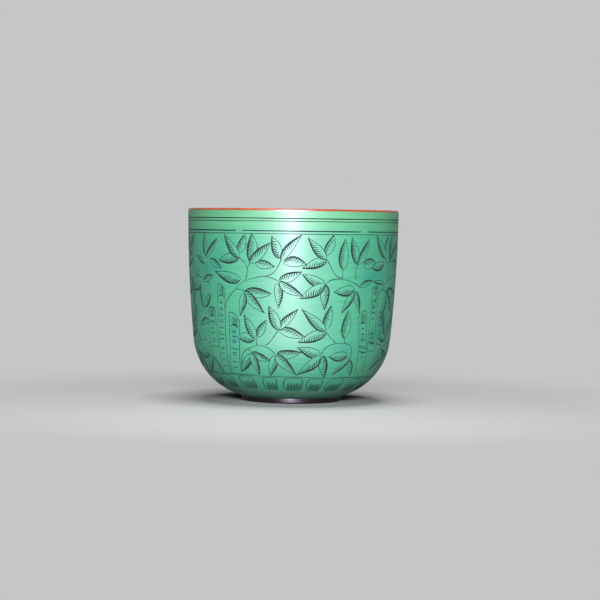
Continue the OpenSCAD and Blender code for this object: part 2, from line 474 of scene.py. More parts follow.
# The orange lacquer.
# Orange red lacquer lines the cup and is carried over the lip, where its edge shows as a thin line above
# the green. It was levelled on the lathe while the cup turned, and has browned a little where it is worn.
orange_bright = (0.62, 0.105, 0.022, 1)
orange_deep = (0.44, 0.058, 0.014, 1)
orange_worn = (0.20, 0.055, 0.022, 1)
band_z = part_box("green_lacquer")[1].z
lip_inner_z = cup_h - lip_inner_round


def lip_outline(inset):
    """The lip's outline at an inset: two quarter rounds, from outside over to inside."""
    outer_r = coat_line(inset, lip_z, foot_r)[0, 0] - (lip_round - inset)
    inner_r = coat_line(wall_t - inset, lip_inner_z, foot_r)[0, 0] + (lip_inner_round - inset)
    outer = quarter_round((outer_r, lip_z), lip_round - inset, 0, -1)
    inner = quarter_round((inner_r, lip_inner_z), lip_inner_round - inset, -1, -2)
    return np.concatenate([outer, inner[:-1]])


def orange_line(inset):
    """The orange coat's face, or its back at an inset: its outer edge, the lip and the inside."""
    edge = coat_line(inset, band_z, foot_r)[:1]
    return np.concatenate([edge, lip_outline(inset), coat_line(wall_t - inset, lip_inner_z, 0)])


def orange_lacquer():
    """Two oranges in lathe marks and broad patches, with the lip worn brown and dull in places."""
    made, tree = blank_material("orange_lacquer")
    lathe_marks = streaks(tree, 1400, 2.2, detail=3.0)
    patch = cloud(tree, 60)
    height = node(tree, "SeparateXYZ", node(tree, "TexCoord")["Object"])["Z"]
    at_lip = stretch(tree, height, float(lip_inner_z), float(cup_h))
    worn = combine(tree, "MULTIPLY", at_lip, stretch(tree, cloud(tree, 420, detail=4.0), 0.46, 0.62))
    colour = blend(tree, stretch(tree, lathe_marks, 0.3, 0.7), orange_deep, orange_bright)
    colour = blend(tree, stretch(tree, patch, 0.4, 0.8, 0, 0.5), colour, orange_deep)
    colour = blend(tree, combine(tree, "MULTIPLY", worn, 0.7), colour, orange_worn)
    rough = stretch(tree, lathe_marks, 0.3, 0.7, 0.22, 0.32)
    rough = combine(tree, "ADD", rough, combine(tree, "MULTIPLY", worn, 0.2))
    shade(tree, colour, rough, relief(tree, lathe_marks, 0.03 * mm))
    return made


turned_coat(
    "orange_coat", orange_line(0), orange_line(topcoat_t), orange_lacquer(),
    replaced="orange_lacquer",
)


# The pattern cut into the green lacquer.
# A stylus cuts bamboo leaves, stems and culms freehand through the fresh green, four panels alike round
# the cup, between turned lines near the lip and a border of petals near the foot. Places are in
# millimetres on the unrolled wall: x round the cup from the front, to the right, and z the height.
pattern_r = rim_r / mm
panels = (0, 1, -1, 2)
panel_pitch = 2 * np.pi * pattern_r / len(panels)
hand = np.random.default_rng(11)
strokes = []
front_leaves = []

# A stroke has its full depth from a certain width, and at least a share of it where it is thinner.
cut_depth = 0.13
full_cut_w = 0.22
least_cut = 0.25

# A leaf hides what is behind it, but for a margin at its edges and a share of its length at its ends. A
# stroke is tested for that on a line so many times finer than its own.
leaf_margin = 0.05
leaf_ends = 0.02
finer = 5

# A leaf's belly is drawn a little nearer its base than it is given, and between two shares of the length.
# Where a stroke has several widths, they run from one end to the other.
belly_pull = 0.86
belly_least, belly_most = 0.25, 0.6
leaf_edge_points = 10
shaded_w, shaded_swell = 0.2, 0.055
plain_w, plain_swell = 0.17, 0.06
leaf_hatch_from, leaf_hatch_to = 0.07, 0.95
leaf_hatch_w = (0.38, 0.32, 0.1)
leaf_sway = 0.3

stem_w, stem_swell = 0.23, 0.05
culm_side_w = 0.25
culm_top_w = 0.27
culm_points = 7
top_hatches = 5
top_hatch_pitch = 0.68
top_hatch_w = (0.08, 0.26, 0.34, 0.32, 0.12)

# Each mark on a culm, as strokes: the share of the culm's width where it starts and that it takes up, how
# far it is raised, arched and sloped, and its widths.
culm_marks = {
    "scars": [(0.08, 0.8, -0.5, 0.9, 0, (0.14, 0.28, 0.5, 0.34, 0.12))],
    "buds": [
        (0.18, 0.6, -0.05, 0.75, 0, (0.14, 0.14)),
        (0.28, 0.36, -0.1, 0, 0, (0.22, 0.4, 0.48, 0.4, 0.22)),
    ],
    "bars": [(0.24, 0.5, 0, 0.25, 0, (0.14, 0.3, 0.38, 0.3, 0.14))],
    "rings": [(0.06, 0.88, 0.25, 0, -0.5, (0.2, 0.3, 0.24, 0.3, 0.2))],
}

# Each leaf: its base, its tip, and the widest places of its shaded and its plain edge.
leaves = [
    ((-19.7, 51.8), (-26.2, 60.0), (-23.6, 54.0), (-21.0, 55.6)),
    ((-19.8, 51.6), (-28.8, 50.8), (-23.8, 49.9), (-24.0, 53.3)),
    ((-19.8, 53.5), (-17.5, 60.0), (-20.2, 56.2), (-16.9, 56.2)),
    ((-15.7, 50.1), (-7.9, 57.2), (-13.2, 54.1), (-10.9, 51.9)),
    ((-15.2, 50.3), (-14.8, 60.2), (-16.4, 54.5), (-12.5, 55.3)),
    ((-13.3, 49.9), (-6.3, 48.9), (-10.3, 51.0), (-10.4, 48.1)),
    ((-4.2, 51.2), (3.0, 60.0), (-2.5, 55.9), (-0.9, 53.6)),
    ((-4.5, 51.8), (-7.5, 59.5), (-7.1, 54.3), (-4.1, 55.9)),
    ((-3.1, 50.3), (5.0, 49.8), (0.6, 52.4), (0.4, 49.0)),
    ((11.8, 51.7), (5.1, 59.1), (8.0, 53.5), (10.3, 55.5)),
    ((12.0, 51.2), (3.3, 48.5), (8.7, 48.8), (8.2, 52.0)),
    ((11.7, 53.0), (14.4, 60.1), (11.4, 56.0), (14.9, 56.2)),
    ((18.4, 48.1), (19.0, 58.8), (16.8, 52.8), (20.4, 52.6)),
    ((24.4, 49.7), (29.7, 59.0), (25.7, 53.6), (28.7, 53.3)),
    ((24.2, 49.9), (21.7, 59.3), (21.8, 53.8), (24.8, 54.8)),
    ((27.2, 50.1), (33.5, 50.7), (30.3, 51.9), (29.8, 48.2)),
    ((-4.6, 43.9), (3.9, 38.9), (-1.0, 42.7), (-2.0, 39.9)),
    ((-4.6, 44.5), (3.4, 47.3), (-1.8, 46.6), (-0.7, 43.8)),
    ((-5.2, 43.4), (-5.0, 34.6), (-3.5, 39.6), (-6.4, 40.2)),
    ((11.7, 43.3), (2.5, 38.0), (8.9, 39.1), (6.7, 42.0)),
    ((11.6, 43.5), (3.4, 46.4), (7.4, 42.6), (8.1, 45.8)),
    ((11.8, 42.9), (11.7, 34.0), (13.3, 39.6), (10.1, 39.2)),
    ((23.5, 41.5), (15.0, 40.4), (20.1, 39.0), (20.2, 42.5)),
    ((23.6, 40.6), (18.5, 32.9), (22.9, 37.2), (20.4, 38.1)),
    ((24.1, 40.5), (26.5, 32.6), (26.1, 37.8), (24.0, 37.2)),
    ((26.0, 42.0), (32.4, 44.3), (28.6, 44.2), (29.2, 42.3)),
    ((-19.2, 44.3), (-30.9, 46.9), (-24.2, 43.1), (-23.5, 46.7)),
    ((-18.0, 39.6), (-19.7, 31.6), (-17.0, 36.5), (-19.9, 36.4)),
    ((-17.6, 40.0), (-10.0, 32.8), (-14.5, 38.9), (-15.8, 35.7)),
    ((-17.4, 40.2), (-7.5, 39.6), (-13.4, 41.4), (-12.3, 37.9)),
    ((-14.4, 23.9), (-18.0, 32.2), (-17.1, 27.2), (-13.7, 27.4)),
    ((-14.0, 23.5), (-21.0, 24.1), (-17.3, 22.5), (-18.2, 25.8)),
    ((-12.9, 24.4), (-9.4, 30.5), (-12.7, 27.5), (-10.1, 26.4)),
    ((-5.0, 27.1), (-8.5, 35.3), (-7.9, 30.0), (-4.6, 31.2)),
    ((-4.8, 27.2), (2.1, 34.4), (-3.5, 30.7), (-0.6, 29.9)),
    ((-4.7, 26.7), (5.0, 24.6), (-0.6, 27.8), (-0.2, 24.4)),
    ((12.3, 26.9), (3.4, 34.4), (8.1, 28.2), (10.1, 30.8)),
    ((12.7, 26.0), (2.2, 22.8), (8.8, 23.3), (8.0, 26.8)),
    ((12.6, 27.2), (14.3, 35.8), (11.7, 30.7), (14.9, 30.9)),
    ((20.4, 24.2), (21.4, 34.0), (19.1, 28.0), (22.9, 28.8)),
    ((-5.7, 18.4), (2.2, 11.1), (-2.6, 17.2), (-4.6, 14.4)),
    ((-5.4, 18.7), (4.0, 19.4), (-2.6, 19.9), (-1.4, 16.9)),
    ((-6.2, 18.0), (-9.0, 10.6), (-5.6, 14.7), (-8.8, 15.6)),
    ((-15.6, 18.8), (-13.6, 10.9), (-13.3, 15.6), (-16.2, 15.3)),
    ((-15.5, 18.9), (-8.4, 16.4), (-12.6, 18.8), (-12.2, 16.1)),
    ((-16.2, 18.3), (-21.6, 11.9), (-17.0, 14.6), (-19.6, 16.0)),
    ((11.3, 18.1), (1.9, 11.1), (9.6, 13.9), (7.3, 16.7)),
    ((11.0, 18.4), (1.9, 21.1), (7.2, 17.5), (7.9, 20.9)),
    ((12.2, 18.2), (14.5, 9.9), (14.2, 15.2), (10.9, 14.4)),
    ((24.1, 17.6), (17.6, 11.0), (22.6, 14.4), (20.4, 15.5)),
    ((22.5, 18.2), (14.4, 17.9), (18.6, 16.2), (19.3, 19.5)),
    ((24.4, 16.4), (27.3, 10.8), (26.5, 14.1), (24.5, 13.4)),
]

# Leaves that hang lower in every panel but the front one, and those that differ in the panel left of it.
lower_leaves = {
    1: ((-20.5, 50.5), (-28.6, 49.2), (-24.4, 47.9), (-24.2, 50.9)),
    26: ((-19.4, 43.0), (-26.7, 43.7), (-23.2, 42.7), (-23.0, 44.0)),
}
left_panel_leaves = {
    12: ((22.5, 49.2), (17.0, 52.0), (19.8, 50.0), (20.2, 51.7)),
    13: ((23.5, 51.8), (30.5, 58.9), (26.2, 55.5), (27.7, 54.2)),
    14: ((23.1, 52.0), (22.8, 60.0), (21.7, 56.2), (24.2, 56.0)),
    15: ((25.8, 51.0), (31.9, 47.9), (29.1, 50.6), (28.0, 48.6)),
    22: ((19.6, 41.8), (12.4, 40.6), (16.7, 39.6), (16.8, 42.8)),
    23: ((19.6, 41.4), (20.9, 33.6), (19.2, 38.0), (21.4, 37.6)),
    24: ((22.4, 34.0), (26.6, 39.2), (25.5, 35.9), (23.5, 37.5)),
    25: ((21.9, 42.9), (27.9, 45.1), (24.3, 45.0), (25.2, 43.1)),
    39: ((24.3, 29.4), (17.8, 27.6), (21.0, 30.3), (20.6, 28.1)),
}

# Each stem: the places that it bends through.
stems = [
    ((-19.6, 51.9), (-17.7, 50.3), (-16.6, 48.6), (-16.5, 46.8), (-17.1, 44.1)),
    ((-15.3, 50.1), (-16.1, 48.9), (-16.5, 47.8)),
    ((-4.2, 51.4), (-4.7, 50.0), (-5.9, 48.0), (-7.2, 46.5), (-9.6, 45.6)),
    ((12.1, 51.7), (13.2, 49.9), (14.5, 47.5), (16.2, 45.8), (18.3, 45.1)),
    ((18.4, 48.0), (18.3, 46.6), (18.4, 45.2)),
    ((24.5, 49.9), (23.9, 48.0), (23.8, 46.0), (24.3, 44.6)),
    ((-26.6, 33.0), (-25.4, 36.4), (-23.4, 39.0), (-21.2, 41.1), (-19.2, 42.9),
     (-16.5, 44.1), (-13.0, 45.1), (-10.0, 45.5), (-7.2, 44.9), (-4.9, 44.0)),
    ((12.3, 43.5), (14.4, 44.6), (17.3, 44.9), (20.2, 44.5), (22.6, 43.8), (24.6, 42.8), (26.1, 41.9)),
    ((-21.4, 40.9), (-19.5, 40.8), (-17.6, 40.2)),
    ((-13.3, 24.2), (-13.4, 23.2), (-13.2, 21.5)),
    ((-5.1, 26.9), (-7.0, 24.2), (-8.2, 22.8), (-9.8, 21.6)),
    ((12.5, 26.6), (13.8, 25.3), (15.2, 24.0), (16.8, 22.7)),
    ((20.5, 24.2), (20.6, 23.4), (20.6, 22.5)),
    ((-20.9, 12.8), (-20.3, 16.4), (-19.0, 18.8), (-16.6, 20.3), (-13.9, 21.3),
     (-11.4, 21.4), (-9.4, 20.9), (-7.6, 19.9), (-6.0, 18.5)),
    ((11.2, 18.6), (12.3, 20.3), (14.0, 21.6), (16.8, 22.4),
     (20.8, 22.4), (23.4, 21.6), (24.2, 19.4), (24.2, 17.6)),
    ((-16.9, 20.1), (-16.2, 19.5), (-15.7, 18.8)),
]

# Each culm: the places of its left and right sides from the top down, and the heights of its marks. Where
# hatch is -1, the strokes at its top rise to the right. The panels in front and behind have the first three.
front_culms = [
    dict(left=((-24.5, 32.7), (-24.7, 26.0), (-24.9, 20.0), (-26.0, 15.5), (-27.3, 11.2)),
         right=((-20.0, 30.0), (-20.2, 25.0), (-20.5, 20.0), (-21.3, 15.5), (-21.9, 11.3)),
         scars=(28.1,), buds=(26.0, 22.5), bars=(24.1, 18.4, 17.6, 15.2, 13.2), rings=(20.0,)),
    dict(left=((-29.7, 42.4), (-30.0, 34.0), (-30.0, 26.0), (-30.3, 20.0), (-31.1, 15.5), (-32.0, 11.2)),
         right=((-26.2, 40.6), (-26.4, 34.0), (-26.6, 26.0), (-26.7, 20.0), (-27.3, 15.5), (-28.3, 11.3)),
         scars=(38.3, 23.0), buds=(35.9, 33.6, 31.5, 29.3, 27.2, 19.9),
         bars=(18.0, 15.6, 13.3), rings=(24.8,)),
    dict(left=((-35.6, 33.4), (-35.8, 28.0), (-35.6, 24.0), (-35.2, 20.2)),
         right=((-31.6, 33.8), (-31.3, 28.0), (-30.9, 23.0), (-30.6, 20.2)),
         hatch=-1, scars=(28.9,), buds=(31.2,), bars=(26.6, 25.0, 22.8, 22.0), rings=(20.5,)),
]
side_culms = [
    dict(left=((-33.4, 31.6), (-33.0, 28.0), (-32.5, 24.0), (-32.1, 20.0), (-31.5, 16.5), (-30.3, 11.6)),
         right=((-29.5, 33.7), (-29.2, 30.0), (-28.7, 26.0), (-28.2, 22.0), (-27.4, 18.5), (-25.8, 11.7)),
         hatch=-1, scars=(29.3,), buds=(23.5,), bars=(27.2, 25.3, 18.7, 17.2), rings=(21.1, 20.5, 19.2)),
    dict(left=((-27.1, 41.5), (-27.3, 34.0), (-27.4, 26.0), (-27.4, 22.0), (-27.1, 19.3)),
         right=((-23.7, 41.4), (-23.7, 36.0), (-23.5, 30.0), (-23.1, 25.0), (-22.9, 19.4)),
         hatch=-1, scars=(37.0, 32.7), buds=(34.9, 25.5, 24.0), bars=(30.6, 21.7),
         rings=(22.6, 22.2, 19.4)),
    dict(left=((-21.7, 33.0), (-21.6, 26.0), (-21.5, 20.4)),
         right=((-18.2, 32.0), (-18.2, 26.0), (-18.0, 20.4)),
         scars=(28.4,), buds=(31.0,), bars=(26.0, 24.0), rings=(21.6,)),
]

# Each turned line: its height, its width and its gaps.
turned_lines = [
    (65.6, 0.34, ()),
    (64.63, 0.26, ()),
    (61.25, 0.4, ((-21.1, -18.3), (25.6, 28.9))),
    (60.28, 0.24, ()),
]
line_points = 121
round_line = np.linspace(-np.pi, np.pi, line_points) * pattern_r
ground_z = 10.45
ground_tilt = 0.62
ground_w = 0.3

# The middle and the half width of each petal at the front, and every petal's outline, in half widths and
# heights.
front_petals = {-1: (-9.8, 3.2), 0: (0.9, 4.3), 1: (10.9, 3.6), 2: (21.3, 4.2)}
petal_outline = [(-0.8, 0), (-1.0, 0.22), (-1.02, 0.5), (-0.97, 0.78), (-0.8, 0.95), (-0.45, 1), (0, 0.99)]
petal_outline += [(-x, z) for x, z in petal_outline[-2::-1]]
petal_count = 22
petal_pitch = 2 * np.pi * pattern_r / petal_count
petal_start = 0.5
petal_half = 3.8
petal_w = 0.28
petal_top, petal_foot = 10.0, 5.6
tick_top, tick_foot = 8.2, 5.3
tick_pitch = 0.7
tick_w = (0.16, 0.34, 0.28)


def smooth_line(places, steps=6):
    """A curve through places: between each two, the cubic whose slope at a place is half the way between its
    neighbours (Catmull and Rom's rule), with the end places doubled."""
    p = np.array(places, float)
    p = np.concatenate([p[:1] * 2 - p[1:2], p, p[-1:] * 2 - p[-2:-1]])
    t = np.linspace(0, 1, steps, endpoint=False)[:, None, None]
    a, b, c, d = p[:-3], p[1:-2], p[2:-1], p[3:]
    bend, twist = 2 * a - 5 * b + 4 * c - d, 3 * b - a - 3 * c + d
    run = b + t / 2 * (c - a) + t ** 2 / 2 * bend + t ** 3 / 2 * twist
    return np.concatenate([run.transpose(1, 0, 2).reshape(-1, 2), p[-2:-1]])


def runs_of(numbers):
    """Rising whole numbers, split wherever one is missing."""
    return np.split(numbers, np.flatnonzero(np.diff(numbers) > 1) + 1)


def edge_off(u, m, h, fullness=1.8):
    """How far a leaf's edge stands off its middle line at a share u of the length: h (u / m)^(f m)
    ((1 - u) / (1 - m))^(f (1 - m)), which is h at the belly's share m, where f is the fullness."""
    return h * (u / m) ** (fullness * m) * ((1 - u) / (1 - m)) ** (fullness * (1 - m))


def behind_leaf(line):
    """True where a point of the line lies inside a leaf that was drawn before."""
    hidden = np.zeros(len(line), bool)
    if not front_leaves:
        return hidden
    rows = np.array(front_leaves)
    reach = np.hypot(*rows[:, 1].T)[:, None]
    middle = rows[:, 0] + rows[:, 1] / 2
    near = ((line.max(axis=0) > middle - reach) & (line.min(axis=0) < middle + reach)).all(axis=1)
    for base, along, shaded, plain in rows[near]:
        length = np.hypot(*along)
        x, z = (line - base).T
        u = np.clip((x * along[0] + z * along[1]) / length ** 2, 0, 1)
        off = (z * along[0] - x * along[1]) / length
        low, high = np.sort([edge_off(u, *shaded), edge_off(u, *plain)], axis=0)
        between = (off > low + leaf_margin) & (off < high - leaf_margin)
        hidden |= between & (u > leaf_ends) & (u < 1 - leaf_ends)
    return hidden


def cut(line, width):
    """Keeps a stroke, in the lengths of it that no leaf in front hides. Its width may change along it. Only
    its own points and the ends of a length are kept from the finer line."""
    corners = np.arange(len(line))
    steps = np.arange(finer * (len(line) - 1) + 1) / finer
    line = np.stack([np.interp(steps, corners, side) for side in np.asarray(line, float).T], axis=1)
    width = np.interp(steps, corners, np.broadcast_to(width, len(corners)))
    for run in runs_of(np.flatnonzero(~behind_leaf(line))):
        if len(run) > finer / 2:
            run = run[(run % finer == 0) | (run == run[0]) | (run == run[-1])]
            depth = cut_depth * np.clip(width[run] / full_cut_w, least_cut, 1)
            strokes.append((line[run], width[run], depth))


def cut_leaf(base, tip, shaded_belly, plain_belly):
    """A leaf: a heavy shaded edge, a thin plain edge, and hatching that leans back from the shaded edge
    towards the base, and reaches a share of the way across that grows towards the tip."""
    along = tip - base
    length = np.hypot(*along)
    across = np.array([-along[1], along[0]]) / length
    bellies = np.array([shaded_belly, plain_belly]) - base
    at = np.clip(belly_pull * bellies @ along / length ** 2, belly_least, belly_most)
    shaded, plain = np.stack([at, bellies @ across], axis=1)

    def place(u, share):
        """The point at a share u of the length, and a share of the way from the shaded to the plain edge."""
        u = np.clip(u, 0, 1)
        off = edge_off(u, *shaded) * (1 - share) + edge_off(u, *plain) * share
        return base + np.outer(u, along) + np.outer(off, across)

    u = (1 - np.cos(np.linspace(0, np.pi, leaf_edge_points))) / 2
    swell = np.sin(np.pi * u ** 1.1)
    cut(place(u, 0), shaded_w + shaded_swell * length * swell * hand.uniform(0.8, 1.2))
    cut(place(u, 1), plain_w + plain_swell * swell)
    pitch = hand.uniform(0.76, 0.86)
    for start in np.arange(leaf_hatch_from + hand.uniform(0, 0.03), leaf_hatch_to, pitch / length):
        reach = 0.5 + 0.36 * start ** 2 + hand.uniform(-0.1, 0.1)
        room = abs(edge_off(start, *shaded) - edge_off(start, *plain))
        lean = 0.75 * reach * room / length
        line = place(start - lean * np.array([0, 0.42, 1]), np.array([0, 0.55, 1]) * reach)
        cut(line, np.array(leaf_hatch_w) * hand.uniform(0.85, 1.15))
    front_leaves.append((base, along, shaded, plain))


def cut_culm(shift, left, right, hatch=1, **marks):
    """A culm: two sides, an arched and hatched top that slants between them, and the marks of its joints."""
    sides = [smooth_line(side, steps=3) + (shift, 0) for side in (left, right)]
    across = np.linspace(0, 1, culm_points)
    arch = np.sin(np.pi * across)

    def spot(share, height):
        """The point at a share of the width, from the left side, at a height."""
        left_x, right_x = (np.interp(-height, -side[:, 1], side[:, 0]) for side in sides)
        return np.stack([left_x + (right_x - left_x) * share, height], axis=-1)

    def mark(line, widths):
        """Cuts a stroke whose width runs through the given ones."""
        cut(line, np.interp(across, np.linspace(0, 1, len(widths)), widths))

    for side in sides:
        cut(side, culm_side_w)
    corner, span = sides[0][0], sides[1][0] - sides[0][0]
    top = corner + np.outer(across, span)
    top[:, 1] += 0.2 * span[0] * arch
    cut(top, culm_top_w)
    low, fall = min(sides[0][0][1], sides[1][0][1]), abs(span[1])
    for number in range(top_hatches):
        slope = hatch * (0.35 + 0.3 * fall) * (across - 0.5)
        line = spot(0.2 + 0.7 * across, low + 0.5 - top_hatch_pitch * number - slope + 0.25 * arch)
        mark(line, np.array(top_hatch_w) * hand.uniform(0.85, 1.15))
    for kind, heights in marks.items():
        for height in heights:
            for start, share, rise, bow, tilt, widths in culm_marks[kind]:
                mark(spot(start + share * across, height + rise + bow * arch + tilt * across), widths)


def cut_turned_line(height, width, gaps):
    """A line turned round the cup, which swells a little and breaks off at its gaps."""
    x = np.sort(np.append(round_line, gaps))
    keep = np.ones(len(x), bool)
    for left, right in gaps:
        keep &= (x <= left) | (x >= right)
    swell = width * (1 + 0.12 * np.sin(x * 5 / pattern_r) + 0.08 * np.sin(x * 17 / pattern_r))
    for run in runs_of(np.flatnonzero(keep)):
        line = np.stack([x[run], height + 0 * x[run]], axis=1)
        strokes.append((line, swell[run], np.full(len(run), cut_depth)))


def cut_ground():
    """The ground line under the panels, a little higher on one side of the cup."""
    wave = 0.07 * np.sin(round_line * 9 / pattern_r + 1) + 0.04 * np.sin(round_line * 23 / pattern_r)
    height = ground_z - ground_tilt * np.sin(round_line / pattern_r) + wave
    strokes.append((np.stack([round_line, height], axis=1), ground_w + wave, cut_depth + 0 * round_line))


def cut_petal(middle, half):
    """A petal of the border and its row of ticks."""
    drop = -ground_tilt * np.sin(middle / pattern_r)
    size, foot_place = (half, petal_top - petal_foot), (middle, petal_foot + drop)
    cut(smooth_line(np.array(petal_outline) * size + foot_place, steps=2), petal_w)
    lean = hand.uniform(-0.12, 0.12)
    ticks = round(1.6 * half / tick_pitch)
    for x in middle + (np.arange(ticks) - (ticks - 1) / 2) * tick_pitch + 0.1 * half:
        top = tick_top + drop + hand.uniform(-0.2, 0.2)
        foot = tick_foot + drop + hand.uniform(-0.15, 0.15)
        foot_x = x + lean + 0.1 * hand.uniform(-1, 1)
        cut([(x - lean, top), (x, (top + foot) / 2), (foot_x, foot)], tick_w)


for panel in panels:
    swaps = {**(lower_leaves if panel else {}), **(left_panel_leaves if panel == -1 else {})}
    for leaf in [swaps.get(number, leaf) for number, leaf in enumerate(leaves)]:
        sway = hand.normal(0, leaf_sway, (1, 2)) * (panel != 0)
        cut_leaf(*(np.array(leaf) + sway + (panel * panel_pitch, 0)))
for panel in panels:
    for stem in stems:
        line = smooth_line(stem) + (panel * panel_pitch, 0)
        cut(line, stem_w + stem_swell * np.sin(np.linspace(0, 9, len(line))))
    for culm in side_culms if panel % 2 else front_culms:
        cut_culm(panel * panel_pitch, **culm)
for height, width, gaps in turned_lines:
    cut_turned_line(height, width, gaps)
cut_ground()
for number in range(-petal_count // 2, petal_count // 2):
    if number in front_petals:
        middle, half = front_petals[number]
    else:
        middle = petal_start + number * petal_pitch + hand.uniform(-0.35, 0.35)
        half = petal_half + hand.uniform(-0.5, 0.4)
    cut_petal(middle, half)


# The green lacquer.
# The coloured coat outside, from the orange edge down to the foot ring, polished while the cup turned.
# Every cut line is a groove in its face, darkened with lampblack, and patches of blue green show where
# the colour was laid unevenly.
green = (0.048, 0.400, 0.222, 1)
green_light = (0.085, 0.518, 0.310, 1)
green_rim = (0.185, 0.560, 0.245, 1)
blue_green = (0.015, 0.350, 0.262, 1)
green_dull = (0.150, 0.300, 0.230, 1)
green_shine = {"Specular IOR Level": 0.26, "Coat Weight": 0.095, "Coat Roughness": 0.34}
line_black = (0.003, 0.032, 0.028, 1)
line_faded = (0.008, 0.052, 0.044, 1)
line_rough = 0.75
line_shine = {"Specular IOR Level": 0.12}
rim_tint = (58 * mm, 67 * mm)
dull_from, dull_to = (3.2 * mm, 4.2 * mm), (5.4 * mm, 4.8 * mm)

# Each blue-green patch: x and z of its middle, its half width and half height, and its strength.
teal_patches = [
    (-35.0, 47.6, 5.0, 2.6, 0.7),
    (32.0, 45.8, 6.5, 1.8, 1.0),
    (-22.5, 23.6, 1.7, 4.2, 1.0),
    (29.4, 23.8, 1.9, 1.6, 1.0),
    (34.4, 25.4, 1.6, 2.2, 1.0),
    (21.5, 20.2, 4.0, 2.4, 0.7),
    (-28.5, 51.5, 3.5, 4.0, 0.35),
    (40.0, 28.5, 2.5, 3.0, 0.8),
]

face_steps = 3000
fill_step = 2.7
back_stride = 4

# In the chart, points within the gap are one, and triangles under the least area are left out. The slacks
# allow for rounding.
merge_gap = 1e-5
least_area = 1e-7
edge_slack = 1e-6
ring_slack = 1e-3
turn_slack = 1e-4

# The outer face's line, in small steps of the way down it: its angle below level, radius and height. The
# chart's radius falls by the same share as a step is of the coat's radius there, so angles stay true.
wall_run = wall_arc_r * (heel_angle - np.arcsin((wall_centre[1] - band_z) / wall_arc_r))
heel_run = heel_r * (np.arccos((foot_r - heel_centre[0]) / heel_r) - heel_angle)
way = np.linspace(0, wall_run + heel_run, face_steps)
on_wall = way < wall_run
wall_angle = heel_angle - (wall_run - way) / wall_arc_r
face_angle = np.where(on_wall, wall_angle, heel_angle + (way - wall_run) / heel_r)
wall_line, heel_line = arc(wall_centre, wall_arc_r, face_angle), arc(heel_centre, heel_r, face_angle)
face_r, face_z = np.where(on_wall[:, None], wall_line, heel_line).T
chart_step = np.diff(way) * (1 / face_r[1:] + 1 / face_r[:-1]) / 2
chart_r = pattern_r * np.exp(-np.concatenate([[0], np.cumsum(chart_step)]))
ring_number = np.arange(turn_segments)
ring_turn = ring_number / turn_segments * 2 * np.pi


def to_chart(x, height):
    """The flat chart that the grooves are cut in, as the coat is seen from below: a place goes to its own
    angle, and to the chart's radius at its height."""
    return spun(np.interp(-height * mm, -face_z, chart_r), x / pattern_r, 0)[..., :2]


def cross(first, second):
    """The cross products of flat vectors."""
    return first[:, 0] * second[:, 1] - first[:, 1] * second[:, 0]


def groove(line, width, depth):
    """A stroke in the chart: points left of, on and right of its middle, with their depths, and triangles
    between them. Its half width is scaled as the chart is there, by the chart's radius over the coat's."""
    middle = to_chart(line[:, 0], line[:, 1])
    reach = np.hypot(*middle.T)
    scale = reach / np.interp(-reach, -chart_r, face_r / mm)
    ahead = np.gradient(middle, axis=0)
    ahead /= np.hypot(*ahead.T)[:, None]
    side = np.stack([-ahead[:, 1], ahead[:, 0]], axis=1) * (width * scale / 2)[:, None]
    count = len(line)
    row = np.arange(count - 1)
    lanes = np.concatenate([row, row + count])
    quads = np.stack([lanes, lanes + 1, lanes + count + 1, lanes + count], axis=1)
    triangles = np.concatenate([quads[:, [0, 1, 2]], quads[:, [0, 2, 3]]])
    points = np.concatenate([middle - side, middle, middle + side])
    return points, np.concatenate([0 * depth, depth, 0 * depth]), triangles


def all_grooves():
    """The points, depths and triangles of every stroke's groove, each triangle wound the same way."""
    points, depths, triangles = zip(*[groove(*stroke) for stroke in strokes])
    starts = np.cumsum([0, *map(len, points)])
    triangles = np.concatenate([part + start for part, start in zip(triangles, starts)])
    points, depths = np.concatenate(points), np.concatenate(depths)
    first, second, third = (points[triangles[:, k]] for k in range(3))
    area = cross(second - first, third - first)
    triangles = np.where((area < 0)[:, None], triangles[:, ::-1], triangles)
    return points, depths, triangles[abs(area) > least_area]


def fill_points():
    """Rows of points that fill the coat between grooves, every second row turned by half a step."""
    made = []
    rows = np.arange(fill_step / 2, way[-1] / mm - fill_step / 3, fill_step)
    for number, down in enumerate(rows):
        radius = np.interp(down * mm, way, face_r) / mm
        count = int(2 * np.pi * radius / fill_step)
        x = (np.arange(count) + number % 2 / 2) / count * 2 * np.pi * pattern_r
        made.append(to_chart(x, np.full(count, np.interp(down * mm, way, face_z) / mm)))
    return made


def cut_chart():
    """The whole face as flat triangles, by a constrained Delaunay triangulation of a ring at each end, the
    fill and the grooves, with the groove triangles that cover each one."""
    rings = [spun(reach, ring_turn, 0)[:, :2] for reach in (chart_r[0], chart_r[-1])]
    given = np.concatenate([*rings, *fill_points(), groove_points])
    ring_edges = np.stack([ring_number, np.roll(ring_number, -1)], axis=1)
    ring_edges = np.concatenate([ring_edges, ring_edges + turn_segments])
    triangles = groove_faces + len(given) - len(groove_points)
    points, _, faces, _, _, covering = delaunay_2d_cdt(
        [Vector(p) for p in given], ring_edges.tolist(), triangles.tolist(), 0, merge_gap, True
    )
    points, faces = np.array([tuple(p) for p in points]), np.array(faces)
    in_foot = (np.hypot(*points.T)[faces] < chart_r[-1] + ring_slack).all(axis=1)
    return points, faces[~in_foot], [np.array(covering[k], int) for k in np.flatnonzero(~in_foot)]


